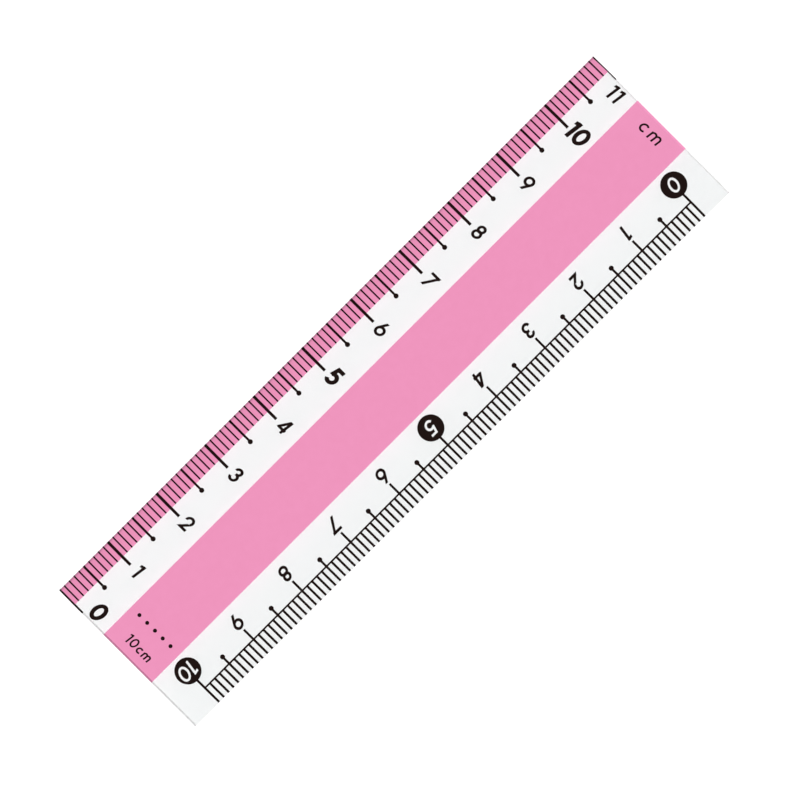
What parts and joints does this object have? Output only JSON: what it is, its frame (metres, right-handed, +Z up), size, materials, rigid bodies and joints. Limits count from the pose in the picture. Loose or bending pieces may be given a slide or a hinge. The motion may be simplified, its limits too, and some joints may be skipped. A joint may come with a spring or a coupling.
{
  "type": "ruler",
  "caption": "Flat clear acrylic ruler with bevelled long edges, printed colour bands and centimetre scales whose numerals are read from either long edge.",
  "frame": {"origin": "middle of the flat underside, halfway along and halfway across the ruler", "axes": "+X along the ruler from the zero end of the edge scale to its 11 cm end, +Y across it to the coloured measuring edge, +Z up out of the printed face"},
  "size_m": [0.11, 0.028, 0.0021],
  "materials": {
    "clear_acrylic": "clear cast acrylic, polished faces and long edges, sawn ends",
    "pink_ink": "opaque pink printing ink, slightly satin",
    "black_ink": "opaque warm black printing ink, slightly satin"
  },
  "bodies": {
    "root": {"acrylic_blank": "clear_acrylic", "centre_band": "pink_ink", "dot_row": "black_ink", "edge_band": "pink_ink", "edge_numeral_0": "black_ink", "edge_numeral_1": "black_ink", "edge_numeral_10": "black_ink", "edge_numeral_11": "black_ink", "edge_numeral_2": "black_ink", "edge_numeral_3": "black_ink", "edge_numeral_4": "black_ink", "edge_numeral_5": "black_ink", "edge_numeral_6": "black_ink", "edge_numeral_7": "black_ink", "edge_numeral_8": "black_ink", "edge_numeral_9": "black_ink", "edge_scale_centimetre_marks": "black_ink", "edge_scale_end_marks": "black_ink", "edge_scale_half_centimetre_marks": "black_ink", "edge_scale_millimetre_marks": "black_ink", "length_label": "black_ink", "lower_disc_0": "black_ink", "lower_disc_10": "black_ink", "lower_disc_5": "black_ink", "lower_numeral_1": "black_ink", "lower_numeral_2": "black_ink", "lower_numeral_3": "black_ink", "lower_numeral_4": "black_ink", "lower_numeral_6": "black_ink", "lower_numeral_7": "black_ink", "lower_numeral_8": "black_ink", "lower_numeral_9": "black_ink", "lower_scale_centimetre_marks": "black_ink", "lower_scale_half_centimetre_marks": "black_ink", "lower_scale_millimetre_marks": "black_ink", "lower_scale_rule": "black_ink", "unit_label": "black_ink"}
  },
  "joints": []
}
